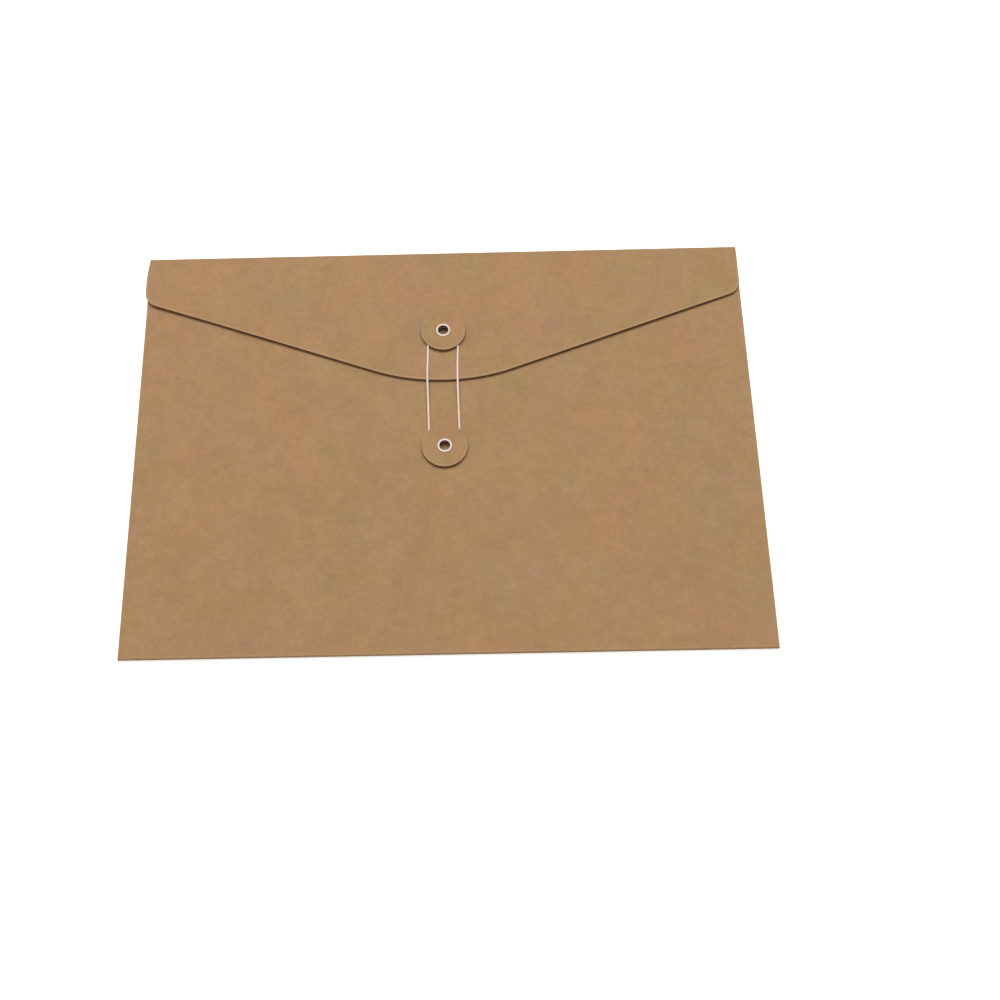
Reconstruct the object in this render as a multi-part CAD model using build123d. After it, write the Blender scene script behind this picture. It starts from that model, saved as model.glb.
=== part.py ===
from build123d import *
import math
import os

# A string tie envelope of kraft board for A4 papers, lying on its back panel with the flap tied down.
# Millimetres. X runs along the flap fold, Y from the bottom fold to the flap fold, Z up off the table.

# Board: one die-cut blank, creased and folded, so every panel has the same thickness
card_thickness = 0.5
crease_clearance = 0.05
pocket_width = 324.0
pocket_height = 229.0

# Front panel: folded up from the bottom and glued on the side tabs, open along its top edge
front_side_inset = 0.1
front_mouth_depth = 12.0
front_corner_radius = 3.0

# Side tabs: folded in from the back panel, with a film of glue that holds the front panel
tab_width = 18.0
tab_end_taper = 6.0
tab_foot_gap = 2.0
tab_slack = 0.3
glue_thickness = 0.1
glue_margin = 3.0

# Flap: straight sides, two slanted edges and a broad rounded tip, springing up a little off the pocket.
# Depths are measured down from its fold
flap_side_inset = 0.2
flap_side_depth = 27.9
flap_corner_radius = 9.0
flap_tip_depth = 86.0
flap_tip_radius = 113.0
flap_rise = 0.25

# Buttons: a card disc that turns on its eyelet, over a narrower spacer that leaves a groove for the string
flap_button_depth = 49.75
pocket_button_depth = 117.3
disc_radius = 12.0
disc_thickness = 0.5
disc_play = 0.05
spacer_radius = 7.35
spacer_height = 1.1

# Eyelets: a tube with a domed flange in front, its other end rolled out over a steel washer behind the board
bore_radius = 2.65
barrel_wall = 0.3
flange_radius = 4.0
flange_height = 0.45
roll_radius = 4.0
roll_height = 0.45
washer_radius = 5.2
washer_thickness = 0.25
hole_clearance = 0.05
eyelet_clearance = 0.2

# String: up one side, over the flap button, down the other side, with both ends tucked in under the lower disc
string_diameter = 1.0
string_wrap_gap = 0.15
string_tail_gap = 1.0
string_start_turn = 45.0
string_bend_radius = 60.0
string_samples = 800
string_neighbour_share = 4.0

# Heights of the layers, from the table up
eyelet_back_depth = washer_thickness + roll_height + eyelet_clearance
pocket_gap = max(card_thickness + glue_thickness + tab_slack, eyelet_back_depth)
front_bottom = card_thickness + pocket_gap
front_top = front_bottom + card_thickness
glue_bottom = front_bottom - glue_thickness
tab_bottom = glue_bottom - card_thickness
flap_bottom = front_top + eyelet_back_depth + flap_rise
flap_top = flap_bottom + card_thickness
groove_height = spacer_height + disc_play

# Places across the sheet
fold_y = pocket_height / 2
crease_y = fold_y - card_thickness / 2
side_fold_radius = glue_bottom / 2
bottom_fold_radius = front_top / 2
back_half_width = pocket_width / 2 - side_fold_radius
back_foot_y = bottom_fold_radius - fold_y
front_half_width = pocket_width / 2 - front_side_inset
front_mouth_y = fold_y - front_mouth_depth
flap_half_width = pocket_width / 2 - flap_side_inset
flap_button_y = fold_y - flap_button_depth
pocket_button_y = fold_y - pocket_button_depth
barrel_radius = bore_radius + barrel_wall
hole_radius = barrel_radius + hole_clearance
panel_end = card_thickness / 2 + crease_clearance


def sheet(outline, bottom, thickness):
    """A flat piece of board or film, cut to an outline and lying at a height."""
    return extrude(Pos(0, 0, bottom) * outline, amount=thickness)


def ring(outer_radius, inner_radius, centre_y, bottom, thickness):
    """A punched disc or washer with a round hole, on a button's axis."""
    return sheet(Pos(0, centre_y) * (Circle(outer_radius) - Circle(inner_radius)), bottom, thickness)


def half_round(outer_radius):
    """The section of a folded edge: half a tube of board whose two ends meet the panels it joins."""
    inner_radius = outer_radius - card_thickness
    lines = [
        ThreePointArc((0, -outer_radius), (outer_radius, 0), (0, outer_radius)),
        Line((0, outer_radius), (0, inner_radius)),
        ThreePointArc((0, inner_radius), (inner_radius, 0), (0, -inner_radius)),
        Line((0, -inner_radius), (0, -outer_radius)),
    ]
    return make_face(lines)


def round_ended(start, end):
    """The section of a panel along its middle line, cut square at its start and full round at its end."""
    half = card_thickness / 2
    lines = [
        Line((end, -half), (start, -half)),
        Line((start, -half), (start, half)),
        Line((start, half), (end, half)),
        ThreePointArc((end, half), (end + half, 0), (end, -half)),
    ]
    return make_face(lines)


def make_back_panel():
    """The panel that lies on the table, with a full round edge where the spine turns on it."""
    along_y = Plane((0, 0, card_thickness / 2), x_dir=(0, 1, 0), z_dir=(1, 0, 0))
    return extrude(along_y * round_ended(back_foot_y, crease_y), amount=back_half_width, both=True)


def make_front_panel():
    """The panel that closes the pocket, with rounded corners at its mouth and a hole for its eyelet."""
    outline = make_face(
        Polyline(
            (-front_half_width, back_foot_y),
            (front_half_width, back_foot_y),
            (front_half_width, front_mouth_y),
            (-front_half_width, front_mouth_y),
            close=True,
        )
    )
    outline = fillet(outline.vertices().group_by(Axis.Y)[-1], front_corner_radius)
    outline -= Pos(0, pocket_button_y) * Circle(hole_radius)
    return sheet(outline, front_bottom, card_thickness)


def make_bottom_fold():
    """The folded edge between the back panel and the front panel."""
    facing_down = Plane((0, back_foot_y, bottom_fold_radius), x_dir=(0, -1, 0), z_dir=(-1, 0, 0))
    return extrude(facing_down * half_round(bottom_fold_radius), amount=front_half_width, both=True)


def make_side():
    """The folded edge, the tab and the glue film of the right side."""
    foot = back_foot_y + tab_foot_gap
    head = front_mouth_y
    section = Plane((back_half_width, head, side_fold_radius), x_dir=(1, 0, 0), z_dir=(0, -1, 0))
    fold = extrude(section * half_round(side_fold_radius), amount=head - foot)
    inner = back_half_width - tab_width
    tab_outline = make_face(
        Polyline(
            (back_half_width, foot),
            (back_half_width, head),
            (inner, head - tab_end_taper),
            (inner, foot + tab_end_taper),
            close=True,
        )
    )
    tab = sheet(tab_outline, tab_bottom, card_thickness)
    glue_outline = make_face(
        Polyline(
            (front_half_width - glue_margin, foot + tab_end_taper),
            (front_half_width - glue_margin, head - tab_end_taper),
            (inner + glue_margin, head - tab_end_taper - glue_margin),
            (inner + glue_margin, foot + tab_end_taper + glue_margin),
            close=True,
        )
    )
    glue = sheet(glue_outline, glue_bottom, glue_thickness)
    return {"side_fold": fold, "glue_tab": tab, "glue_film": glue}


def make_spine():
    """The narrow strip between the two creases of the flap fold, full round where the flap turns on it."""
    upright = Plane((0, crease_y, card_thickness / 2), x_dir=(0, 0, 1), z_dir=(1, 0, 0))
    crease_spacing = flap_bottom
    return extrude(upright * round_ended(panel_end, crease_spacing), amount=flap_half_width, both=True)


def make_flap():
    """The flap, from its crease down to its rounded tip, with a hole for its eyelet."""
    root_y = crease_y - panel_end
    side_y = fold_y - flap_side_depth
    outline = make_face(
        Polyline(
            (-flap_half_width, root_y),
            (-flap_half_width, side_y),
            (0, fold_y - flap_tip_depth),
            (flap_half_width, side_y),
            (flap_half_width, root_y),
            close=True,
        )
    )
    by_height = outline.vertices().group_by(Axis.Y)
    outline = fillet(by_height[1], flap_corner_radius)
    outline = fillet(outline.vertices().group_by(Axis.Y)[0], flap_tip_radius)
    outline -= Pos(0, flap_button_y) * Circle(hole_radius)
    return sheet(outline, flap_bottom, card_thickness)


def make_eyelet(centre_y, board_bottom, flange_bottom):
    """A set eyelet: domed flange, tube, and the end rolled out flat against the washer."""
    roll_top = board_bottom - washer_thickness
    flange_middle = (bore_radius + flange_radius) / 2
    roll_middle = (bore_radius + roll_radius) / 2
    lines = [
        Line((bore_radius, roll_top), (bore_radius, flange_bottom)),
        ThreePointArc(
            (bore_radius, flange_bottom),
            (flange_middle, flange_bottom + flange_height),
            (flange_radius, flange_bottom),
        ),
        Line((flange_radius, flange_bottom), (barrel_radius, flange_bottom)),
        Line((barrel_radius, flange_bottom), (barrel_radius, roll_top)),
        Line((barrel_radius, roll_top), (roll_radius, roll_top)),
        ThreePointArc((roll_radius, roll_top), (roll_middle, roll_top - roll_height), (bore_radius, roll_top)),
    ]
    return Pos(0, centre_y, 0) * revolve(Plane.XZ * make_face(lines), axis=Axis.Z)


def make_button(centre_y, board_bottom):
    """A button on its board: the spacer, the disc that turns, the eyelet and the washer behind the board."""
    board_top = board_bottom + card_thickness
    disc_bottom = board_top + groove_height
    flange_bottom = disc_bottom + disc_thickness + disc_play
    washer_bottom = board_bottom - washer_thickness
    return {
        "button_spacer": ring(spacer_radius, hole_radius, centre_y, board_top, spacer_height),
        "button_disc": ring(disc_radius, hole_radius, centre_y, disc_bottom, disc_thickness),
        "eyelet": make_eyelet(centre_y, board_bottom, flange_bottom),
        "eyelet_washer": ring(washer_radius, hole_radius, centre_y, washer_bottom, washer_thickness),
    }


def make_string_route():
    """The middle line of the string, from its start under the lower disc to its tucked tail."""
    wrap_radius = spacer_radius + string_wrap_gap + string_diameter / 2
    tail_radius = wrap_radius + (string_diameter + string_tail_gap) / 2
    low = front_top + groove_height / 2
    high = flap_top + groove_height / 2
    slope = math.atan2(flap_tip_depth - flap_side_depth, flap_half_width)
    tip_centre_y = fold_y - flap_tip_depth + flap_tip_radius / math.cos(slope)
    edge_y = tip_centre_y - math.sqrt(flap_tip_radius**2 - wrap_radius**2)
    rim_y = pocket_button_y + disc_radius
    start_angle = math.radians(-string_start_turn)
    start_way = Vector(-math.sin(start_angle), math.cos(start_angle), 0)
    start_offset = Vector(math.cos(start_angle), math.sin(start_angle), 0) * wrap_radius
    start = Vector(0, pocket_button_y, low) + start_offset

    def strand(side):
        return [
            (side * wrap_radius, pocket_button_y, low),
            (side * wrap_radius, rim_y, low),
            (side * wrap_radius, edge_y, high),
            (side * wrap_radius, flap_button_y, high),
        ]

    bends = [string_bend_radius, string_bend_radius]
    with BuildLine() as route:
        Line(start - start_way * string_diameter, start)
        JernArc(start, start_way, wrap_radius, string_start_turn)
        FilletPolyline(*strand(1), radius=bends)
        JernArc(strand(1)[-1], (0, 1, 0), wrap_radius, 180)
        FilletPolyline(*reversed(strand(-1)), radius=bends)
        tail_turn = JernArc(strand(-1)[0], (0, -1, 0), tail_radius, 180)
        Line(tail_turn @ 1, (tail_turn @ 1) + (tail_turn % 1) * string_diameter)
    print(f"string turns of radius {wrap_radius:.2f} and {tail_radius:.2f}, bends of {string_bend_radius:.1f}")
    return route.wire()


def least_gap(route):
    """The least gap of the string to itself, between points that are well apart along it."""
    points = [tuple(route.position_at(i / string_samples)) for i in range(string_samples + 1)]
    neighbour_length = string_neighbour_share * string_diameter
    apart = math.ceil(neighbour_length / route.length * string_samples)
    pairs = ((a, b) for i, a in enumerate(points) for b in points[i + apart :])
    return min(math.dist(a, b) for a, b in pairs) - string_diameter


def make_string():
    """The string as one unbroken round tube along its route."""
    route = make_string_route()
    section = Plane(route @ 0, z_dir=route % 0) * Circle(string_diameter / 2)
    string = sweep(section, path=route)
    expected = math.pi * (string_diameter / 2) ** 2 * route.length
    print(f"string {route.length:.1f} long, volume {string.volume / expected:.4f} of section times length")
    print(f"string's least gap to itself {least_gap(route):.2f}")
    return string


nodes = {
    "back_panel": make_back_panel(),
    "front_panel": make_front_panel(),
    "bottom_fold": make_bottom_fold(),
    "spine_strip": make_spine(),
    "flap_panel": make_flap(),
    "tie_string": make_string(),
}
for name, piece in make_side().items():
    nodes[f"right_{name}"] = piece
    nodes[f"left_{name}"] = mirror(piece, about=Plane.YZ)
for name, piece in make_button(flap_button_y, flap_bottom).items():
    nodes[f"flap_{name}"] = piece
for name, piece in make_button(pocket_button_y, front_bottom).items():
    nodes[f"pocket_{name}"] = piece

os.makedirs("parts", exist_ok=True)
for name, piece in nodes.items():
    export_step(piece, f"parts/{name}.step")
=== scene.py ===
import math

import bmesh
import bpy
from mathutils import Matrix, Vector


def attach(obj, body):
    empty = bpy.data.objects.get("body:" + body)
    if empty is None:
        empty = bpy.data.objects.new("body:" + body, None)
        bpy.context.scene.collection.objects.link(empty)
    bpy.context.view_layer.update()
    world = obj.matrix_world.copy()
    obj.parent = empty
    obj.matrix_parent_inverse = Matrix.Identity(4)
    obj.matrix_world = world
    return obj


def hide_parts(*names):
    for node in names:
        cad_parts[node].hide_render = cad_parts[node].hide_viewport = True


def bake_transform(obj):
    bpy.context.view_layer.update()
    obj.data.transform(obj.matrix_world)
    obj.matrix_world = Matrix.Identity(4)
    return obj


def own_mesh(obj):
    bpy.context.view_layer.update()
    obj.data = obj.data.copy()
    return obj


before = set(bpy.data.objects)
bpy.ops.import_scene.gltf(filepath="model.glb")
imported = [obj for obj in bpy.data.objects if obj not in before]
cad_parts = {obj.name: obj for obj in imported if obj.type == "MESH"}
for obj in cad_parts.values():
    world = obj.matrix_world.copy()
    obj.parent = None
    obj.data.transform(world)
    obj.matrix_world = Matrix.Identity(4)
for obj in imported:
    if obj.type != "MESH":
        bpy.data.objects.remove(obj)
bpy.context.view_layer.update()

bpy.ops.object.select_all(action="DESELECT")


# Pocket board: the lower part of one die-cut sheet of brown kraft board, half a millimetre thick.
# The back panel has a tab folded in on each side and turns up at the bottom into the front panel,
# which is glued to the tabs. Its top edge is creased upright into the narrow spine of the flap.
board, board_bevel = 0.0005, 0.00006
back_half, back_foot, front_half, front_mouth = 0.16135, -0.11355, 0.1619, 0.1025
tab_foot, tab_width, tab_taper = -0.11155, 0.018, 0.006
tab_middle, front_middle, front_corner = 0.00105, 0.00165, 0.003
crease_y, crease_bend, spine_half, spine_joint = 0.11425, 0.0005, 0.1618, 0.001775
back_head = crease_y - crease_bend
pocket_button_y, eyelet_hole, rim_width = -0.0028, 0.003, 0.0007
bottom_wear, side_wear = 0.0004, 0.0002
hair = 0.000001


def near(a, b):
    """Whether two measures are the same, apart from rounding."""
    return abs(a - b) < 2 * hair


def take(piece):
    """Picks up one piece and leaves all others alone."""
    bpy.ops.object.select_all(action="DESELECT")
    piece.select_set(True)
    bpy.context.view_layer.objects.active = piece


def choose(kind, wanted):
    """Selects the corners, edges or faces of the piece in edit mode that lie where wanted."""
    bpy.ops.mesh.select_mode(type=kind)
    bpy.ops.mesh.select_all(action="DESELECT")
    mesh = bmesh.from_edit_mesh(bpy.context.object.data)
    parts = {"VERT": mesh.verts, "EDGE": mesh.edges, "FACE": mesh.faces}[kind]
    for part in parts:
        corners = [part] if kind == "VERT" else part.verts
        if all(wanted(*corner.co) for corner in corners):
            part.select_set(True)
    bmesh.update_edit_mesh(bpy.context.object.data)


def lay_sheet(name, half_width, foot, head, height):
    """Lays out a flat rectangle of board, and opens it in edit mode."""
    bpy.ops.mesh.primitive_plane_add(size=1, location=(0, (head + foot) / 2, height))
    sheet = bpy.context.object
    sheet.name = name
    bpy.ops.transform.resize(value=(2 * half_width, head - foot, 1))
    bpy.ops.object.transform_apply(location=True, rotation=True, scale=True)
    bpy.ops.object.mode_set(mode="EDIT")
    return sheet


def score(on_line, across):
    """Marks a straight line across the whole sheet, so that it can be folded or shaped there."""
    bpy.ops.mesh.select_all(action="SELECT")
    bpy.ops.mesh.bisect(plane_co=on_line, plane_no=across)


def fold(angle, centre, axis, steps):
    """Turns the chosen edge about a fold's middle, leaving curved board behind it."""
    bpy.ops.mesh.spin(steps=steps, angle=angle, center=centre, axis=axis)


def pull(x=0.0, y=0.0, z=0.0):
    """Draws what is chosen out into a flat panel or a thick plate."""
    bpy.ops.mesh.extrude_region_move(TRANSFORM_OT_translate={"value": (x, y, z)})


def join_up():
    """Merges the corners that meet, turns all faces outwards and leaves edit mode."""
    bpy.ops.mesh.select_all(action="SELECT")
    bpy.ops.mesh.remove_doubles(threshold=hair)
    bpy.ops.mesh.normals_make_consistent(inside=False)
    bpy.ops.object.mode_set(mode="OBJECT")


def mark(piece, name, amount):
    """Stores a share from 0 to 1 at every corner, such as how much wear and painted highlight it
    shows.
    """
    marks = piece.data.attributes.new(name, "FLOAT", "POINT")
    for corner, stored in zip(piece.data.vertices, marks.data):
        stored.value = float(amount(corner.co))


def thicken(piece, thickness, offset):
    """Gives a sheet its thickness, with its cut edges in the second material."""
    shell = piece.modifiers.new("thickness", "SOLIDIFY")
    shell.thickness, shell.offset, shell.use_even_offset = thickness, offset, True
    shell.material_offset_rim = 1
    take(piece)
    bpy.ops.object.modifier_apply(modifier=shell.name)


def punch(piece, centre, radius, height):
    """Punches a round hole through a board."""
    bpy.ops.mesh.primitive_cylinder_add(
        vertices=64, radius=radius, depth=height, location=centre
    )
    cutter = bpy.context.object
    hole = piece.modifiers.new("hole", "BOOLEAN")
    hole.object, hole.operation, hole.solver = cutter, "DIFFERENCE", "EXACT"
    take(piece)
    bpy.ops.object.modifier_apply(modifier=hole.name)
    bpy.data.objects.remove(cutter, do_unlink=True)


def soften(piece, size, kept_sharp=lambda x, y, z: False):
    """Takes the sharpness off cut edges, and shades the curves smooth and the panels flat."""
    cut_angle, curve_angle, square_on = math.radians(55), math.radians(50), 0.99999
    take(piece)
    bpy.ops.object.mode_set(mode="EDIT")
    bpy.ops.mesh.select_mode(type="EDGE")
    bpy.ops.mesh.select_all(action="DESELECT")
    bpy.ops.mesh.edges_select_sharp(sharpness=cut_angle)
    mesh = bmesh.from_edit_mesh(piece.data)
    for edge in mesh.edges:
        if edge.select and all(kept_sharp(*corner.co) for corner in edge.verts):
            edge.select_set(False)
    bmesh.update_edit_mesh(piece.data)
    bpy.ops.mesh.bevel(
        offset=size, offset_type="OFFSET", segments=2, affect="EDGES", clamp_overlap=True
    )
    bpy.ops.object.mode_set(mode="OBJECT")
    bpy.ops.object.shade_smooth_by_angle(angle=curve_angle)
    bpy.ops.object.mode_set(mode="EDIT")
    bpy.ops.mesh.select_mode(type="FACE")
    bpy.ops.mesh.select_all(action="DESELECT")
    mesh = bmesh.from_edit_mesh(piece.data)
    for face in mesh.faces:
        face.select_set(max(map(abs, face.normal)) > square_on)
    bmesh.update_edit_mesh(piece.data)
    bpy.ops.mesh.faces_shade_flat()
    bpy.ops.object.mode_set(mode="OBJECT")
    piece.select_set(False)


pocket_board = lay_sheet("pocket_board", back_half, back_foot, back_head, board / 2)
for line in (tab_foot, front_mouth):
    score((0, line, 0), (0, 1, 0))
tab_length = front_mouth - tab_foot
for side in (-1, 1):
    choose(
        "EDGE",
        lambda x, y, z: near(x, side * back_half) and tab_foot - hair < y < front_mouth + hair,
    )
    side_fold = (side * back_half, 0, (board / 2 + tab_middle) / 2)
    fold(side * math.pi, side_fold, axis=(0, 1, 0), steps=8)
    pull(x=-side * tab_width)
    bpy.ops.transform.resize(
        value=(1, 1 - 2 * tab_taper / tab_length, 1),
        center_override=(0, (front_mouth + tab_foot) / 2, tab_middle),
    )
choose("EDGE", lambda x, y, z: near(y, back_foot))
bpy.ops.transform.resize(
    value=(front_half / back_half, 1, 1), center_override=(0, back_foot, board / 2)
)
fold(math.pi, (0, back_foot, (board / 2 + front_middle) / 2), axis=(1, 0, 0), steps=12)
pull(y=front_mouth - back_foot)
choose("VERT", lambda x, y, z: near(y, front_mouth) and near(z, front_middle))
bpy.ops.mesh.bevel(offset=front_corner, segments=10, affect="VERTICES")
choose("FACE", lambda x, y, z: near(z, front_middle))
bpy.ops.mesh.inset(thickness=rim_width)
choose("VERT", lambda x, y, z: near(y, back_head) and near(abs(x), back_half))
bpy.ops.transform.resize(
    value=(spine_half / back_half, 1, 1), center_override=(0, back_head, board / 2)
)
choose("EDGE", lambda x, y, z: near(y, back_head))
fold(-math.pi / 2, (0, back_head, board / 2 + crease_bend), axis=(1, 0, 0), steps=8)
pull(z=spine_joint - board / 2 - crease_bend)
join_up()
mark(
    pocket_board,
    "wear_and_highlight",
    lambda at: at.y < back_foot - bottom_wear
    or abs(at.x) > back_half + side_wear and at.y < front_mouth + hair and at.z > board
    or near(at.y, front_mouth) and near(at.z, front_middle),
)

# Kraft paper look: brown unbleached pulp with cloudy mottle, pale and dark fibres lying every way,
# a few bark specks, and a dull, slightly felted surface. Folds and edges scuffed in handling show
# paler fibre; the same pale tint along the cut rims of the flap and discs is a painted highlight.
# Patterns are measured in millimetres, and the shares say how strongly each one shows.
pulp_brown, pale_fibre = (0.438, 0.275, 0.148), (0.6, 0.41, 0.25)
dark_fibre, bark_brown = (0.2, 0.105, 0.045), (0.1, 0.05, 0.02)
# Cut edges: the board's own darker cut colour, deepened as painted shade under the flap and discs.
cut_brown_and_shade, cut_fibre = (0.34, 0.17, 0.065), (0.55, 0.35, 0.19)
fibre_shape, fibre_edge, fibre_core = (0.3, 2.1, 1.3), 0.34, 0.1
fibre_wander = (4.5, 4.5, 0.0)
red_drift, green_drift, blue_drift = 0.22, -0.1, 0.34
bark_scale, bark_size, bark_kept = 0.11, 0.035, 0.3
pale_share, dark_share, bark_share = 0.28, 0.2, 0.6
wear_highlight_range, wear_highlight_least = 0.3, 0.17
rough_range, rough_least = 0.22, 0.72
felt_height, pale_height, dark_height = 0.7, 0.35, 0.25
board_gloss = 0.3
per_mm = (1000, 1000, 1000)


def place(tree, kind, inputs=None, **options):
    """Puts one shader node in a tree, sets its options, and fills or links its inputs."""
    made = tree.nodes.new(kind)
    for name, value in options.items():
        setattr(made, name, value)
    for name, value in (inputs or {}).items():
        if isinstance(value, bpy.types.NodeSocket):
            tree.links.new(value, made.inputs[name])
        else:
            made.inputs[name].default_value = value
    return made


def sum_up(tree, operation, a, b, c=None):
    """Works out one sum of two or three values."""
    values = {0: a, 1: b}
    if c is not None:
        values[2] = c
    return place(tree, "ShaderNodeMath", values, operation=operation).outputs[0]


def spread(tree, pattern, amount, least):
    """Spreads a pattern from 0 to 1 over an amount, up from the least value."""
    return sum_up(tree, "MULTIPLY_ADD", pattern, amount, least)


def vary(tree, pattern, amount):
    """Makes a pattern from 0 to 1 a factor on either side of 1."""
    return spread(tree, pattern, amount, 1 - amount / 2)


def multiply(tree, colour, factor):
    """Multiplies a colour by a value or by another colour."""
    return place(
        tree, "ShaderNodeVectorMath", {0: colour, 1: factor}, operation="MULTIPLY"
    ).outputs[0]


def tint(tree, share, under, over):
    """Lays one colour over another by a share."""
    mixed = place(tree, "ShaderNodeMix", {0: share, 6: under, 7: over}, data_type="RGBA")
    return mixed.outputs[2]


def step_up(tree, value, low, high):
    """A smooth step from 0 at the low value to 1 at the high one."""
    return place(
        tree,
        "ShaderNodeMapRange",
        {"Value": value, "From Min": low, "From Max": high},
        interpolation_type="SMOOTHSTEP",
    ).outputs[0]


def laid(tree, position, scale=(1.0, 1.0, 1.0), turn=(0.0, 0.0, 0.0)):
    """Lays a pattern on a piece at a scale and a turn of its own."""
    return place(
        tree, "ShaderNodeMapping", {"Vector": position, "Scale": scale, "Rotation": turn}
    ).outputs[0]


def noise(tree, position, scale, detail, roughness=0.5):
    """A cloudy pattern, of which the first output is a value and the second a colour."""
    return place(
        tree,
        "ShaderNodeTexNoise",
        {"Vector": position, "Scale": scale, "Detail": detail, "Roughness": roughness},
    ).outputs


def scatter(tree, position, scale):
    """Scattered spots: how far off the nearest one is, and the chances drawn for it."""
    cells = place(
        tree,
        "ShaderNodeTexVoronoi",
        {"Vector": position, "Scale": scale, "Randomness": 1.0},
        feature="F1",
    )
    chances = place(tree, "ShaderNodeSeparateColor", {0: cells.outputs["Color"]})
    return cells.outputs["Distance"], chances.outputs


def new_group(name, inputs, outputs):
    """A new node group, with what it is given and what it puts out."""
    tree = bpy.data.node_groups.new(name, "ShaderNodeTree")
    for label, kind in inputs.items():
        tree.interface.new_socket(label, in_out="INPUT", socket_type=kind)
    for label, kind in outputs.items():
        tree.interface.new_socket(label, in_out="OUTPUT", socket_type=kind)
    given = tree.nodes.new("NodeGroupInput").outputs
    return tree, given, tree.nodes.new("NodeGroupOutput").inputs


def new_finish(name):
    """A new material, with its tree, its shader and the position on its piece."""
    made = bpy.data.materials.new(name)
    made.use_nodes = True
    where = place(made.node_tree, "ShaderNodeTexCoord").outputs["Object"]
    return made, made.node_tree, made.node_tree.nodes["Principled BSDF"], where


def dress(tree, shader, colour, roughness, height, strength, depth):
    """Gives a shader its colour, its roughness and a fine relief."""
    relief = place(
        tree, "ShaderNodeBump", {"Strength": strength, "Distance": depth, "Height": height}
    )
    tree.links.new(colour, shader.inputs["Base Color"])
    tree.links.new(roughness, shader.inputs["Roughness"])
    tree.links.new(relief.outputs["Normal"], shader.inputs["Normal"])


fibre_layer, given, put_out = new_group(
    "fibre_layer",
    {"Position": "NodeSocketVector", "Turn": "NodeSocketVector", "Kept": "NodeSocketFloat"},
    {"Fibres": "NodeSocketFloat"},
)
turned = laid(fibre_layer, given["Position"], fibre_shape, given["Turn"])
distance, chances = scatter(fibre_layer, turned, 1.0)
thin = step_up(fibre_layer, distance, fibre_edge, fibre_core)
kept = sum_up(fibre_layer, "LESS_THAN", chances[0], given["Kept"])
fibre_layer.links.new(sum_up(fibre_layer, "MULTIPLY", thin, kept), put_out["Fibres"])

kraft_face, given, put_out = new_group(
    "kraft_face",
    {
        "Position": "NodeSocketVector",
        "Pulp": "NodeSocketColor",
        "Pale fibre": "NodeSocketColor",
        "Dark fibre": "NodeSocketColor",
        "Bark": "NodeSocketColor",
        "Wear and highlight": "NodeSocketFloat",
    },
    {"Colour": "NodeSocketColor", "Roughness": "NodeSocketFloat", "Height": "NodeSocketFloat"},
)
in_mm = laid(kraft_face, given["Position"], per_mm)
drift = noise(kraft_face, in_mm, scale=0.22, detail=2.0)
wander = place(
    kraft_face,
    "ShaderNodeVectorMath",
    {0: drift["Color"], 1: fibre_wander, 2: in_mm},
    operation="MULTIPLY_ADD",
).outputs[0]
cloud = noise(kraft_face, in_mm, scale=0.035, detail=3.0, roughness=0.55)
mottle = noise(kraft_face, wander, scale=0.36, detail=5.0, roughness=0.68)
felt = noise(kraft_face, in_mm, scale=5.5, detail=3.0, roughness=0.6)
patches = noise(kraft_face, in_mm, scale=0.13, detail=4.0, roughness=0.62)


def crossed_fibres(*layers):
    """Lays fibre layers over one another, each with its own turn and share of fibres kept."""
    fibres = 0.0
    for turn, kept_share in layers:
        layer = place(
            kraft_face,
            "ShaderNodeGroup",
            {"Position": wander, "Turn": (0.0, 0.0, turn), "Kept": kept_share},
            node_tree=fibre_layer,
        )
        fibres = sum_up(kraft_face, "MAXIMUM", layer.outputs[0], fibres)
    return fibres


pale = crossed_fibres((0.2, 0.36), (1.15, 0.3), (2.3, 0.32))
dark = crossed_fibres((0.65, 0.28), (1.75, 0.28), (2.85, 0.34))
distance, chances = scatter(kraft_face, wander, bark_scale)
speck_size = sum_up(kraft_face, "MULTIPLY", chances[1], bark_size)
speck = sum_up(kraft_face, "LESS_THAN", distance, speck_size)
bark = sum_up(
    kraft_face, "MULTIPLY", speck, sum_up(kraft_face, "LESS_THAN", chances[0], bark_kept)
)
shade = 1.0
for pattern, amount in ((cloud, 0.16), (mottle, 0.32), (felt, 0.2), (patches, 0.26)):
    shade = sum_up(kraft_face, "MULTIPLY", vary(kraft_face, pattern[0], amount), shade)
tone = place(kraft_face, "ShaderNodeSeparateColor", {0: cloud["Color"]}).outputs
hue = place(
    kraft_face,
    "ShaderNodeCombineXYZ",
    {
        0: vary(kraft_face, tone[1], red_drift),
        1: vary(kraft_face, tone[1], green_drift),
        2: vary(kraft_face, tone[2], blue_drift),
    },
).outputs[0]
colour = multiply(kraft_face, multiply(kraft_face, given["Pulp"], shade), hue)
for fibres, share, over in (
    (pale, pale_share, "Pale fibre"),
    (dark, dark_share, "Dark fibre"),
    (bark, bark_share, "Bark"),
):
    shown = sum_up(kraft_face, "MULTIPLY", fibres, share)
    colour = tint(kraft_face, shown, colour, given[over])
# Wear tint: paler fibre where handling scuffed the board, and a painted highlight along cut rims.
wear_highlight_share = spread(kraft_face, felt[0], wear_highlight_range, wear_highlight_least)
wear_highlight_share = sum_up(kraft_face, "MULTIPLY", given["Wear and highlight"], wear_highlight_share)
colour = tint(kraft_face, wear_highlight_share, colour, given["Pale fibre"])
rough = spread(kraft_face, felt[0], rough_range, rough_least)
height = sum_up(kraft_face, "MULTIPLY", felt[0], felt_height)
height = spread(kraft_face, pale, pale_height, height)
height = spread(kraft_face, dark, dark_height, height)
kraft_face.links.new(colour, put_out["Colour"])
kraft_face.links.new(rough, put_out["Roughness"])
kraft_face.links.new(height, put_out["Height"])


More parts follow.
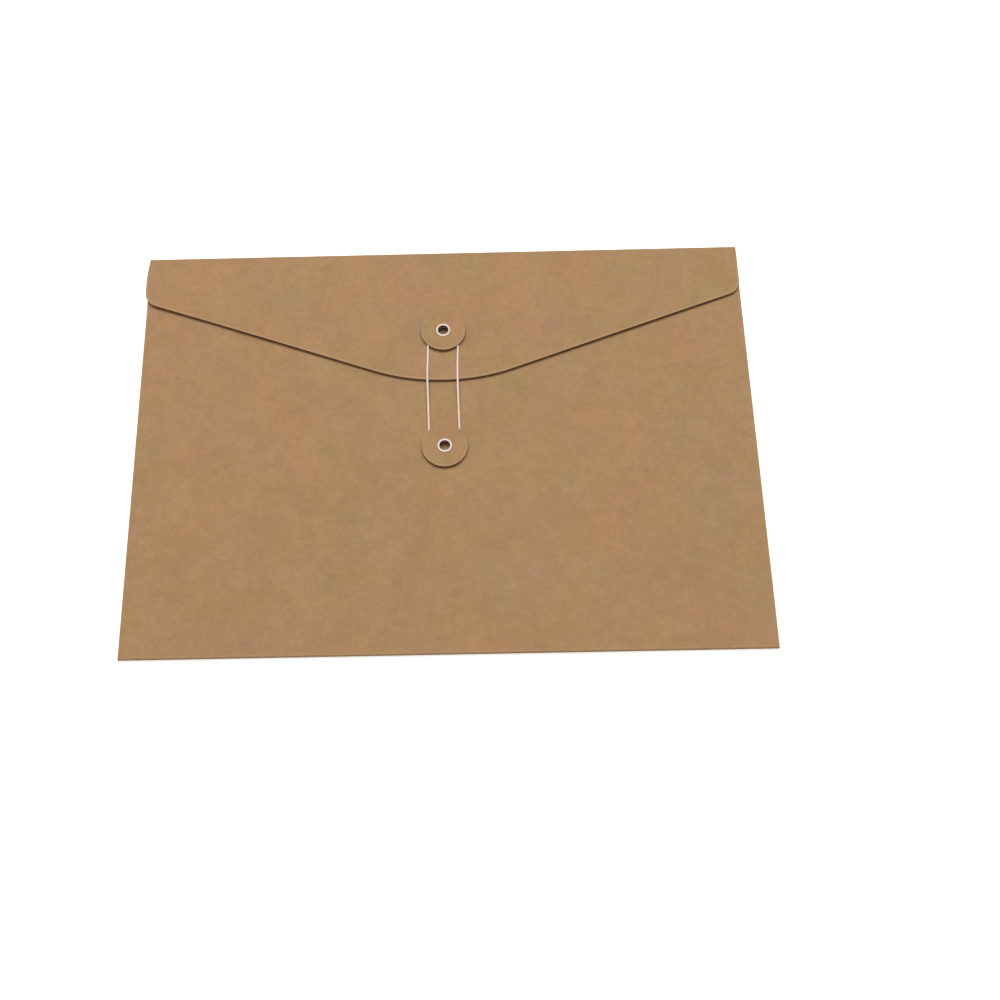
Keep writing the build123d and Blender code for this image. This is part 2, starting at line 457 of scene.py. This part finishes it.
def board_face(tree, position, colours, wear_and_highlight):
    """Puts the kraft look in a finish, with its pulp, pale fibre, dark fibre and bark colours."""
    values = {"Position": position, "Wear and highlight": wear_and_highlight}
    for label, colour in zip(("Pulp", "Pale fibre", "Dark fibre", "Bark"), colours):
        values[label] = (*colour, 1.0)
    return place(tree, "ShaderNodeGroup", values, node_tree=kraft_face).outputs


def kraft(name, pulp_colour, fibre_colour, turn):
    """A kraft board finish, with its pattern turned so that no two pieces match."""
    made, tree, shader, where = new_finish(name)
    wear_and_highlight = place(tree, "ShaderNodeAttribute", attribute_name="wear_and_highlight").outputs["Fac"]
    position = laid(tree, where, turn=(0.0, 0.0, turn))
    colours = (pulp_colour, fibre_colour, dark_fibre, bark_brown)
    face = board_face(tree, position, colours, wear_and_highlight)
    dress(
        tree, shader, face["Colour"], face["Roughness"], face["Height"],
        strength=0.5, depth=0.00004,
    )
    shader.inputs["Specular IOR Level"].default_value = board_gloss
    return made


kraft_board = kraft("kraft_board", pulp_brown, pale_fibre, turn=0.0)
kraft_edge = kraft("kraft_edge", cut_brown_and_shade, cut_fibre, turn=0.5)
pocket_board.data.materials.append(kraft_board)
pocket_board.data.materials.append(kraft_edge)
thicken(pocket_board, board, offset=0)
punch(pocket_board, (0, pocket_button_y, front_middle), eyelet_hole, 2 * board)
soften(pocket_board, board_bevel, lambda x, y, z: near(z, spine_joint) and y > back_head)
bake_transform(pocket_board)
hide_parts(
    "back_panel",
    "front_panel",
    "bottom_fold",
    "right_side_fold",
    "left_side_fold",
    "right_glue_tab",
    "left_glue_tab",
)


# Flap board: the upper part of the same sheet, from the spine over the second crease to the flap.
# It has straight short sides, rounded corners, slanted edges and a broad round tip, all die cut. It
# springs off the pocket, the string presses its tip down, and a skew fold sets its left corner out.
flap_middle, flap_side, flap_point = 0.0033, 0.0866, 0.0285
flap_button_y = 0.06475
tip_cut, tip_roundness = 0.04058, 0.5512
corner_cut, corner_roundness = 0.00633, 0.5256
corner_start, right_sag, left_lift = 0.118, 0.00015, 0.0002
left_lean, lean_haste = 0.0011, 3
press_start, flap_tip, tip_sag = 0.062, 0.0356, 0.00012
bow_start, bow_end, bow_reach, edge_bow = 0.04, 0.145, 0.05, 0.0001
shaped_across = (
    0.014, 0.026, 0.038, 0.05, 0.062, 0.074, 0.086, 0.098, 0.11, 0.122, 0.13, 0.138, 0.146, 0.154
)
shaped_down = (
    0.109, 0.103, 0.097, 0.091, 0.084, 0.077, 0.0705, 0.0585, 0.054, 0.0495, 0.045, 0.041, 0.038
)


def come_from(start, end, value):
    """How far a value has come from the start to the end, as a share from 0 to 1."""
    return min(max((value - start) / (end - start), 0), 1)


def eased(share):
    """The same share, with a gentle start and end."""
    return share**2 * (3 - 2 * share)


flap_board = lay_sheet("flap_board", spine_half, flap_side, back_head, flap_middle)
choose("EDGE", lambda x, y, z: near(y, flap_side))
pull(y=flap_point - flap_side)
bpy.ops.mesh.merge(type="CENTER")
choose("EDGE", lambda x, y, z: near(y, flap_side))
bpy.ops.mesh.dissolve_edges(use_verts=False)
choose("VERT", lambda x, y, z: near(y, flap_point))
bpy.ops.mesh.bevel(offset=tip_cut, segments=28, profile=tip_roundness, affect="VERTICES")
choose("VERT", lambda x, y, z: near(y, flap_side))
bpy.ops.mesh.bevel(offset=corner_cut, segments=12, profile=corner_roundness, affect="VERTICES")
bpy.ops.mesh.select_all(action="SELECT")
bpy.ops.mesh.inset(thickness=rim_width)
# The outer rim band is marked pale: a little scuffing, mostly a painted highlight on the cut edge.
wear_highlight_rim = [tuple(corner.co) for corner in bmesh.from_edit_mesh(flap_board.data).verts]
bpy.ops.mesh.inset(thickness=rim_width)
choose("EDGE", lambda x, y, z: near(y, back_head))
fold(math.pi / 2, (0, back_head, flap_middle - crease_bend), axis=(1, 0, 0), steps=8)
pull(z=spine_joint - flap_middle + crease_bend)
join_up()
mark(
    flap_board,
    "wear_and_highlight",
    lambda at: at.y < back_head - 2 * rim_width and tuple(at) in wear_highlight_rim,
)

bpy.ops.object.mode_set(mode="EDIT")
for across in shaped_across:
    for side in (-1, 1):
        score((side * across, 0, 0), (1, 0, 0))
for down in shaped_down:
    score((0, down, 0), (0, 1, 0))
mesh = bmesh.from_edit_mesh(flap_board.data)
for corner in mesh.verts:
    x, y, z = corner.co
    at_side = eased(come_from(corner_start, spine_half, abs(x)))
    down_side = come_from(back_head, flap_side, y)
    at_corner = at_side * eased(down_side)
    pressed = come_from(press_start, flap_tip, y) ** 2
    along_edge = come_from(bow_start, bow_end, abs(x))
    from_crease = come_from(back_head, back_head - bow_reach, y)
    bowed = math.sin(math.pi * along_edge) ** 2 * eased(from_crease)
    z += edge_bow * bowed - tip_sag * pressed
    if x < 0:
        z += left_lift * at_corner
        x -= left_lean * at_side * min(lean_haste * down_side, 1)
    else:
        z -= right_sag * at_corner
    corner.co = (x, y, z)
bmesh.update_edit_mesh(flap_board.data)
bpy.ops.object.mode_set(mode="OBJECT")
flap_board.data.materials.append(kraft_board)
flap_board.data.materials.append(kraft_edge)
thicken(flap_board, board, offset=0)
punch(flap_board, (0, flap_button_y, flap_middle), eyelet_hole, 2 * board)
soften(flap_board, board_bevel, lambda x, y, z: near(z, spine_joint))
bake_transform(flap_board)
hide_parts("spine_strip", "flap_panel")


# Glue films: a thin coat of dried white paper glue between each tab and the front panel.
# It stays on its own solids, yellowish and uneven where the brush left it thicker.
thick_glue, thin_glue = (0.62, 0.53, 0.34, 1.0), (0.82, 0.77, 0.62, 1.0)
brush_marks = (900.0, 90.0, 900.0)

dried_glue, tree, shader, where = new_finish("dried_glue")
streaks = noise(tree, laid(tree, where, brush_marks), scale=1.0, detail=4.0)[0]
glue_colour = tint(tree, streaks, thick_glue, thin_glue)
glue_rough = spread(tree, streaks, amount=0.3, least=0.3)
dress(tree, shader, glue_colour, glue_rough, streaks, strength=0.4, depth=0.00005)
for node_name in ("right_glue_film", "left_glue_film"):
    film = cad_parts[node_name]
    film.data.materials.clear()
    film.data.materials.append(dried_glue)


# Button spacers: a thick punched washer of layered greyboard glued on the board under each disc.
# It is narrower than the disc and leaves the groove that the string is wound in.
spacer_radius, spacer_height, spacer_bevel = 0.00735, 0.0011, 0.00012
flap_top, front_top = 0.00355, 0.0019
to_pocket = (0, pocket_button_y - flap_button_y, front_top - flap_top)
grey_pulp, grey_fibre = (0.36, 0.23, 0.125), (0.55, 0.42, 0.28)
grey_dark, grey_bark = (0.16, 0.09, 0.04), (0.08, 0.045, 0.02)
layer_scale = (120.0, 120.0, 4200.0)


def to_mesh_place(piece):
    """Leaves a piece at the origin, with its place in its mesh."""
    take(piece)
    bpy.ops.object.transform_apply(location=True, rotation=True, scale=True)


def punched_ring(name, sides, radius, height, rims=()):
    """Punches a flat ring for the flap's button, with its rims marked round its edge."""
    bpy.ops.mesh.primitive_circle_add(
        vertices=sides, radius=radius, fill_type="NGON", location=(0, flap_button_y, height)
    )
    ring = bpy.context.object
    ring.name = name
    to_mesh_place(ring)
    bpy.ops.object.mode_set(mode="EDIT")
    bpy.ops.mesh.select_all(action="SELECT")
    for rim in rims:
        bpy.ops.mesh.inset(thickness=rim)
    bpy.ops.mesh.inset(thickness=radius - sum(rims) - eyelet_hole)
    bpy.ops.mesh.delete(type="FACE")
    bpy.ops.object.mode_set(mode="OBJECT")
    return ring


def deepen(ring, depth):
    """Draws a flat ring out into a thick one."""
    take(ring)
    bpy.ops.object.mode_set(mode="EDIT")
    bpy.ops.mesh.select_all(action="SELECT")
    pull(z=depth)
    join_up()


def second_of(piece, name):
    """Copies a finished piece, with a mesh of its own, to the pocket's button."""
    take(piece)
    bpy.ops.object.duplicate(linked=False)
    copy = bpy.context.object
    copy.name = name
    bpy.ops.transform.translate(value=to_pocket)
    to_mesh_place(copy)
    return copy


flap_spacer = punched_ring("flap_spacer", 96, spacer_radius, flap_top)
deepen(flap_spacer, spacer_height)
soften(flap_spacer, spacer_bevel)
spacer_board, tree, shader, where = new_finish("spacer_board")
face = board_face(tree, where, (grey_pulp, grey_fibre, grey_dark, grey_bark), wear_and_highlight=0.0)
layers = noise(tree, laid(tree, where, layer_scale), scale=1.0, detail=2.0)[0]
layered = multiply(tree, face["Colour"], spread(tree, layers, amount=0.7, least=0.62))
layer_height = sum_up(tree, "ADD", face["Height"], layers)
dress(tree, shader, layered, face["Roughness"], layer_height, strength=0.5, depth=0.00006)
flap_spacer.data.materials.append(spacer_board)
pocket_spacer = second_of(flap_spacer, "pocket_spacer")
for piece, body in ((flap_spacer, "flap"), (pocket_spacer, "pocket")):
    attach(piece, body)
    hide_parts(f"{body}_button_spacer")


# Button discs: punched from the same kraft board as the envelope, free to turn on their eyelets.
# The punch leaves the top edge a little rounded. Its rim is pale partly from string wear and
# partly as a painted highlight, strongest on the side towards the flap's tip.
disc_radius, disc_thickness, disc_bottom = 0.012, 0.0005, 0.0047
disc_rim, disc_bevel = 0.0007, 0.00008


def rim_wear_and_highlight(at):
    """String wear and a painted highlight on the rim, most on the side towards the flap's tip."""
    down = flap_button_y - at.y
    reach = math.hypot(at.x, down)
    on_rim = reach > disc_radius - 1.5 * disc_rim
    return 0.5 + 0.5 * down / reach if on_rim else 0


flap_disc = punched_ring(
    "flap_disc", 128, disc_radius, disc_bottom + disc_thickness, rims=(disc_rim, disc_rim)
)
mark(flap_disc, "wear_and_highlight", rim_wear_and_highlight)
flap_disc.data.materials.append(kraft("disc_board", pulp_brown, pale_fibre, turn=1.9))
flap_disc.data.materials.append(kraft("disc_edge", cut_brown_and_shade, cut_fibre, turn=1.1))
thicken(flap_disc, disc_thickness, offset=-1)
soften(flap_disc, disc_bevel)
pocket_disc = second_of(flap_disc, "pocket_disc")
for piece, body in ((flap_disc, "flap"), (pocket_disc, "pocket")):
    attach(piece, f"{body}_button")
    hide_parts(f"{body}_button_disc")


# Eyelet washers: a thin ring of bright plated steel, punched from strip, behind the board.
# The eyelet's rolled end clamps it there, and it keeps that end from pulling through the board.
washer_radius, washer_thickness, washer_bevel = 0.0052, 0.00025, 0.00005
flap_bottom = 0.00305
washer_steel, dull_steel = (0.64, 0.63, 0.61), (0.5, 0.48, 0.45)
# The dark colour and rougher finish inside the eyelet's barrel are painted shade.
barrel_shade_colour = (0.16, 0.135, 0.115, 1.0)
grime_start, grime_full = 0.48, 0.72
grime_rough, least_rough, barrel_shade_rough, scuff_rough = 0.18, 0.14, 0.25, 0.12

bright_metal, given, put_out = new_group(
    "bright_metal",
    {
        "Position": "NodeSocketVector",
        "Metal": "NodeSocketColor",
        "Dulled": "NodeSocketColor",
        "Barrel dark": "NodeSocketColor",
        "Barrel shade": "NodeSocketFloat",
    },
    {"Colour": "NodeSocketColor", "Roughness": "NodeSocketFloat", "Height": "NodeSocketFloat"},
)
in_mm = laid(bright_metal, given["Position"], per_mm)
grime = noise(bright_metal, in_mm, scale=1.3, detail=5.0, roughness=0.65)[0]
scuffs = noise(bright_metal, in_mm, scale=9.0, detail=3.0)[0]
dulled = step_up(bright_metal, grime, grime_start, grime_full)
colour = tint(bright_metal, dulled, given["Metal"], given["Dulled"])
colour = tint(bright_metal, given["Barrel shade"], colour, given["Barrel dark"])
rough = spread(bright_metal, grime, grime_rough, least_rough)
rough = spread(bright_metal, given["Barrel shade"], barrel_shade_rough, rough)
rough = spread(bright_metal, scuffs, scuff_rough, rough)
bright_metal.links.new(colour, put_out["Colour"])
bright_metal.links.new(rough, put_out["Roughness"])
bright_metal.links.new(scuffs, put_out["Height"])


def plated(name, metal, dull):
    """A plated metal finish with faint scuffs, darkened by painted shade inside the barrel."""
    made, tree, shader, where = new_finish(name)
    barrel_shade = place(tree, "ShaderNodeAttribute", attribute_name="barrel_shade").outputs["Fac"]
    skin = place(
        tree,
        "ShaderNodeGroup",
        {
            "Position": where,
            "Metal": (*metal, 1.0),
            "Dulled": (*dull, 1.0),
            "Barrel dark": barrel_shade_colour,
            "Barrel shade": barrel_shade,
        },
        node_tree=bright_metal,
    ).outputs
    dress(
        tree, shader, skin["Colour"], skin["Roughness"], skin["Height"],
        strength=0.15, depth=0.00001,
    )
    shader.inputs["Metallic"].default_value = 1.0
    return made


flap_washer = punched_ring("flap_washer", 64, washer_radius, flap_bottom)
deepen(flap_washer, -washer_thickness)
soften(flap_washer, washer_bevel)
flap_washer.data.materials.append(plated("washer_steel", washer_steel, dull_steel))
pocket_washer = second_of(flap_washer, "pocket_washer")
for piece, body in ((flap_washer, "flap"), (pocket_washer, "pocket")):
    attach(piece, body)
    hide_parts(f"{body}_eyelet_washer")


# Eyelets: a short nickel plated tube pressed from thin sheet. A domed flange holds the disc in
# front, and the tail, rolled outwards over the washer, clamps the spacer and board behind it.
bore, barrel_wall, flange_reach, flange_height = 0.00265, 0.0003, 0.004, 0.00045
sheet_wall, eyelet_bevel = 0.00025, 0.00003
flange_bottom = 0.00525
roll_top = flap_bottom - washer_thickness
bore_slack, merge_within, collapse_within = 0.00002, 0.00003, 0.00001
nickel, dull_nickel = (0.93, 0.8, 0.7), (0.83, 0.71, 0.62)


def in_barrel(x, y, z):
    """Whether a place is on the inside of the barrel, below the flange."""
    return math.hypot(x, y - flap_button_y) < bore + bore_slack and z < flange_bottom + hair


ring_half = (flange_reach - bore) / 2
bpy.ops.mesh.primitive_torus_add(
    major_segments=80,
    minor_segments=32,
    major_radius=(bore + flange_reach) / 2,
    minor_radius=ring_half,
    location=(0, flap_button_y, flange_bottom),
)
flap_eyelet = bpy.context.object
flap_eyelet.name = "flap_eyelet_shell"
bpy.ops.transform.resize(value=(1, 1, flange_height / ring_half))
to_mesh_place(flap_eyelet)
bpy.ops.object.mode_set(mode="EDIT")
bpy.ops.mesh.select_all(action="SELECT")
bpy.ops.mesh.bisect(plane_co=(0, 0, flange_bottom), plane_no=(0, 0, 1), clear_inner=True)
bpy.ops.mesh.select_all(action="SELECT")
bpy.ops.mesh.duplicate()
half_way = (flange_bottom + roll_top) / 2
bpy.ops.transform.resize(value=(1, 1, -1), center_override=(0, flap_button_y, half_way))
choose("EDGE", in_barrel)
bpy.ops.mesh.bridge_edge_loops()
join_up()
flap_eyelet.data.materials.append(plated("eyelet_nickel", nickel, dull_nickel))
# Painted shade: the barrel's inside, below the flange, is marked dark.
mark(flap_eyelet, "barrel_shade", lambda at: in_barrel(*at))
thicken(flap_eyelet, sheet_wall, offset=-1)
bpy.ops.object.mode_set(mode="EDIT")
for rest_height, side in ((flange_bottom, -1), (roll_top, 1)):
    choose(
        "VERT",
        lambda x, y, z: -hair < side * (z - rest_height) < barrel_wall / 3
        and math.hypot(x, y - flap_button_y) > bore + 2 * barrel_wall,
    )
    bpy.ops.transform.resize(value=(1, 1, 0), center_override=(0, flap_button_y, rest_height))
bpy.ops.mesh.select_all(action="SELECT")
bpy.ops.mesh.remove_doubles(threshold=merge_within)
bpy.ops.mesh.dissolve_degenerate(threshold=collapse_within)
bpy.ops.object.mode_set(mode="OBJECT")
soften(flap_eyelet, eyelet_bevel)
pocket_eyelet = second_of(flap_eyelet, "pocket_eyelet_shell")
for piece, body in ((flap_eyelet, "flap"), (pocket_eyelet, "pocket")):
    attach(piece, body)
    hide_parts(f"{body}_eyelet")


# Tie string: white cotton twisted from three plies. It starts under the lower disc, runs up one
# side, round the flap's button and back down, and its tail is tucked in round the lower spacer.
string_diameter, ply_turn_length = 0.001, 0.0042
ply_count, ply_radius, lay_radius, ply_spacing = 3, 0.00035, 0.0002, 0.00024
low, high, over_edge, down_flap = 0.002475, 0.004125, 0.00412, 0.00406
lower_rim, flap_edge, on_flap = 0.0115, 0.034, 0.042
wound, turn_in, tail, tail_in = 0.008, 0.00331, 0.009, 0.00373
route = [
    (0.00488, -0.00923, low),
    (wound, -0.00611, low),
    (wound, -0.0017, low),
    (0.0077, lower_rim, low),
    (0.0073, flap_edge, over_edge),
    (0.0073, on_flap, down_flap),
    (wound, flap_button_y - turn_in, high),
    (wound, flap_button_y + turn_in, high),
    (turn_in, flap_button_y + wound, high),
    (-turn_in, flap_button_y + wound, high),
    (-wound, flap_button_y + turn_in, high),
    (-wound, flap_button_y - turn_in, high),
    (-0.0087, on_flap, down_flap),
    (-0.0087, flap_edge, over_edge),
    (-0.0082, lower_rim, low),
    (-wound, 0.0009, low),
    (-wound, pocket_button_y - tail_in, low),
    (-0.00273, pocket_button_y - tail, low),
    (0.00473, pocket_button_y - tail, low),
    (0.01, pocket_button_y - tail_in, low),
    (0.01, pocket_button_y + 0.0011, low),
]
cotton_white, cotton_cream = (1.0, 0.94, 0.86, 1.0), (0.97, 0.87, 0.77, 1.0)
cotton_soiled, soil_start, soil_full, soil_share = (0.86, 0.77, 0.66, 1.0), 0.5, 0.8, 0.3
fluff_scale, soil_scale = (9000.0, 2500.0, 9000.0), (160.0, 160.0, 160.0)

line = bpy.data.curves.new("string_line", "CURVE")
line.dimensions, line.resolution_u = "3D", 240
spline = line.splines.new("NURBS")
spline.points.add(len(route) - 1)
for point, on_route in zip(spline.points, route):
    point.co = (*on_route, 1.0)
spline.order_u = 3
spline.use_endpoint_u = True
line_object = bpy.data.objects.new("string_line", line)
bpy.context.collection.objects.link(line_object)
traced = bpy.data.meshes.new_from_object(line_object)
fine_path = [vertex.co.copy() for vertex in traced.vertices]
bpy.data.objects.remove(line_object, do_unlink=True)

path, string_length = [fine_path[0]], 0.0
for here, there in zip(fine_path, fine_path[1:]):
    string_length += (there - here).length
    if (there - path[-1]).length >= ply_spacing:
        path.append(there)
plies_made = []
for ply in range(ply_count):
    ply_curve = bpy.data.curves.new(f"ply_{ply}", "CURVE")
    ply_curve.dimensions, ply_curve.bevel_depth = "3D", ply_radius
    ply_curve.bevel_resolution, ply_curve.use_fill_caps = 2, True
    strand = ply_curve.splines.new("POLY")
    strand.points.add(len(path) - 1)
    along, across = 0.0, Vector((0, 0, 1))
    for i, here in enumerate(path):
        ahead = (path[min(i + 1, len(path) - 1)] - path[max(i - 1, 0)]).normalized()
        across = (across - ahead * across.dot(ahead)).normalized()
        beside = ahead.cross(across)
        if i:
            along += (here - path[i - 1]).length
        turn = math.tau * (along / ply_turn_length + ply / ply_count)
        off_line = (across * math.cos(turn) + beside * math.sin(turn)) * lay_radius
        strand.points[i].co = (*(here + off_line), 1.0)
    ply_object = bpy.data.objects.new(f"ply_{ply}", ply_curve)
    bpy.context.collection.objects.link(ply_object)
    plies_made.append(ply_object)
take(plies_made[0])
for ply_object in plies_made:
    ply_object.select_set(True)
bpy.ops.object.convert(target="MESH")
bpy.ops.object.join()
tie = bpy.context.object
tie.name = "tie_string_plies"
bpy.ops.object.shade_smooth()
to_mesh_place(tie)

cotton, tree, shader, where = new_finish("cotton_string")
fluff = noise(tree, laid(tree, where, fluff_scale), scale=1.0, detail=4.0, roughness=0.7)[0]
soil = noise(tree, laid(tree, where, soil_scale), scale=1.0, detail=2.0)[0]
soiled = sum_up(tree, "MULTIPLY", step_up(tree, soil, soil_start, soil_full), soil_share)
cotton_colour = tint(tree, soiled, tint(tree, fluff, cotton_cream, cotton_white), cotton_soiled)
cotton_rough = spread(tree, fluff, amount=0.2, least=0.7)
dress(tree, shader, cotton_colour, cotton_rough, fluff, strength=0.4, depth=0.00005)
shader.inputs["Sheen Weight"].default_value = 0.25
tie.data.materials.clear()
tie.data.materials.append(cotton)
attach(tie, "pocket")
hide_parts("tie_string")
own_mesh(tie)


# Camera: above the table in front of the envelope, looking down at it as in the photograph.
# The lens shift puts the envelope to the left of the picture's middle, as it lies there.
camera_tilt = [math.radians(angle) for angle in (22.635, 1.1256, -0.7825)]
bpy.ops.object.camera_add(location=(0.01079, -0.296297, 0.632832), rotation=camera_tilt)
camera = bpy.context.object
camera.data.lens, camera.data.sensor_width = 48.0935, 36.0
camera.data.shift_x = 0.0506
camera.data.clip_start, camera.data.clip_end = 0.01, 20.0
bpy.context.scene.camera = camera


# Table and light: a white table under a soft sky, with one broad lamp above and behind.
# The table and the sky look white to the camera and in the metal, where no shadow falls,
# and the light that the sky throws on the envelope is weaker and warmer than that.
table_size, table_top, table_glow = 12, -0.0001, 0.65
lamp_place, lamp_width, lamp_depth, lamp_power = (-0.09, 1.7, 2.94), 4.2, 1.7, 108.0
sky_level, sky_rise, sky_foot, sky_head = 0.29, 0.71, 0.15, 0.85
white, table_paint, sky_warmth = (1.0, 1.0, 1.0, 1.0), (0.9, 0.9, 0.9, 1.0), (1.0, 0.85, 0.66, 1.0)


def rays(tree):
    """Which rays are the camera's own, which come by a mirror, and which are either."""
    seen = place(tree, "ShaderNodeLightPath").outputs
    mirrored = sum_up(tree, "MAXIMUM", seen["Is Glossy Ray"], seen["Is Transmission Ray"])
    looked_at = sum_up(tree, "MAXIMUM", seen["Is Camera Ray"], mirrored)
    return seen["Is Camera Ray"], mirrored, looked_at


bpy.ops.mesh.primitive_plane_add(size=table_size, location=(0, 0, table_top))
table = bpy.context.object
table.name = "table"
table_white = bpy.data.materials.new("table_white")
table_white.use_nodes = True
table.data.materials.append(table_white)
tree = table_white.node_tree
shader = tree.nodes["Principled BSDF"]
shader.inputs["Base Color"].default_value = table_paint
shader.inputs["Emission Color"].default_value = white
looked_at = rays(tree)[2]
glow = sum_up(tree, "MULTIPLY", looked_at, table_glow)
tree.links.new(glow, shader.inputs["Emission Strength"])

bpy.ops.object.light_add(type="AREA", location=lamp_place)
lamp = bpy.context.object
lamp.data.shape, lamp.data.size, lamp.data.size_y = "RECTANGLE", lamp_width, lamp_depth
lamp.data.energy = lamp_power
lamp.rotation_euler = (-lamp.location).to_track_quat("-Z", "Y").to_euler()
lamp.visible_glossy = False

world = bpy.data.worlds.new("studio")
bpy.context.scene.world = world
world.use_nodes = True
tree = world.node_tree
sky = tree.nodes["Background"]
direct, mirrored, looked_at = rays(tree)
toward = place(tree, "ShaderNodeTexCoord").outputs["Generated"]
upward = place(tree, "ShaderNodeSeparateXYZ", {0: toward}).outputs["Z"]
overhead = sum_up(tree, "MULTIPLY", step_up(tree, upward, sky_foot, sky_head), sky_rise)
strength = sum_up(tree, "MULTIPLY_ADD", mirrored, overhead, sky_level)
strength = sum_up(tree, "MULTIPLY_ADD", direct, sky_rise, strength)
tree.links.new(tint(tree, looked_at, sky_warmth, white), sky.inputs["Color"])
tree.links.new(strength, sky.inputs["Strength"])
bpy.context.scene.view_settings.view_transform = "Standard"
